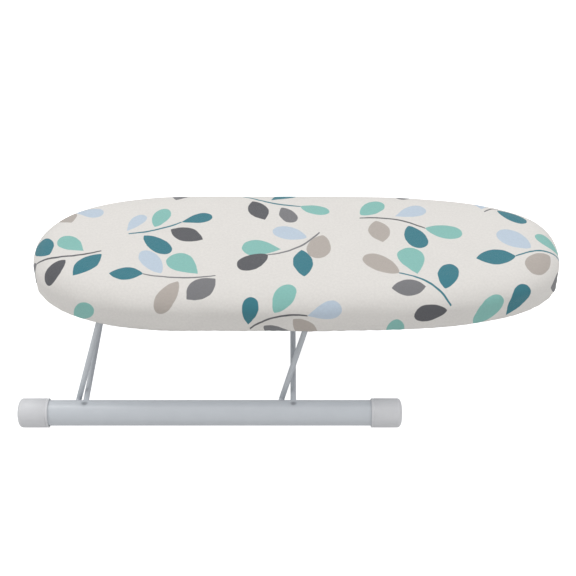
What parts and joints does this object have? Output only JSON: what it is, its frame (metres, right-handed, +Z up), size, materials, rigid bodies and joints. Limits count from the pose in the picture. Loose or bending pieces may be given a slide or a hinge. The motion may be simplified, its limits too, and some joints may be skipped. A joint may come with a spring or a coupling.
{
  "type": "sleeve ironing board",
  "caption": "Small padded ironing board for sleeves on a folding wire frame with tubular feet and plastic end caps.",
  "frame": {"origin": "on the surface it stands on, under the middle of the whole object's box", "axes": "+X along the board towards its narrow nose, +Y across it, +Z up"},
  "size_m": [0.528, 0.2184, 0.1562],
  "materials": {
    "cotton": "printed cotton cover, light ground with leaves",
    "foam": "soft open-cell foam",
    "elastic": "woven elastic cord",
    "powder_coat": "light grey powder coat on steel",
    "cap_plastic": "satin white-grey moulded plastic",
    "steel": "zinc-plated steel"
  },
  "bodies": {
    "base": {"cross_wire_left": "powder_coat", "cross_wire_right": "powder_coat", "end_cap_front_left": "cap_plastic", "end_cap_front_right": "cap_plastic", "end_cap_rear_left": "cap_plastic", "end_cap_rear_right": "cap_plastic", "foot_tube_front": "powder_coat", "foot_tube_rear": "powder_coat"},
    "leg_left": {"leg_left": "powder_coat"},
    "leg_right": {"leg_right": "powder_coat"},
    "board": {"board_tray": "powder_coat", "cover": "cotton", "foam_pad": "foam", "hem_elastic": "elastic", "rivet_left_front_1": "steel", "rivet_left_front_2": "steel", "rivet_left_rear_1": "steel", "rivet_left_rear_2": "steel", "rivet_right_front_1": "steel", "rivet_right_front_2": "steel", "rivet_right_rear_1": "steel", "rivet_right_rear_2": "steel", "saddle_bracket_left_front": "steel", "saddle_bracket_left_rear": "steel", "saddle_bracket_right_front": "steel", "saddle_bracket_right_rear": "steel"}
  },
  "joints": [
    {"name": "leg_right_swing", "type": "hinge", "parent": "base", "child": "leg_right", "pos_m": [-0.007, 0, 0.01385], "axis": [0, 1, 0], "range_deg": [-93, 0]},
    {"name": "leg_left_swing", "type": "hinge", "parent": "base", "child": "leg_left", "pos_m": [-0.208, 0, 0.01385], "axis": [0, 1, 0], "range_deg": [-93, 0]},
    {"name": "board_level", "type": "hinge", "parent": "leg_right", "child": "board", "pos_m": [0.02718, 0, 0.12565], "axis": [0, 1, 0], "range_deg": [0, 93]}
  ],
  "couplings": [
    {"joint": "leg_left_swing", "follows": "leg_right_swing", "ratio": 1},
    {"joint": "board_level", "follows": "leg_right_swing", "ratio": -1}
  ]
}
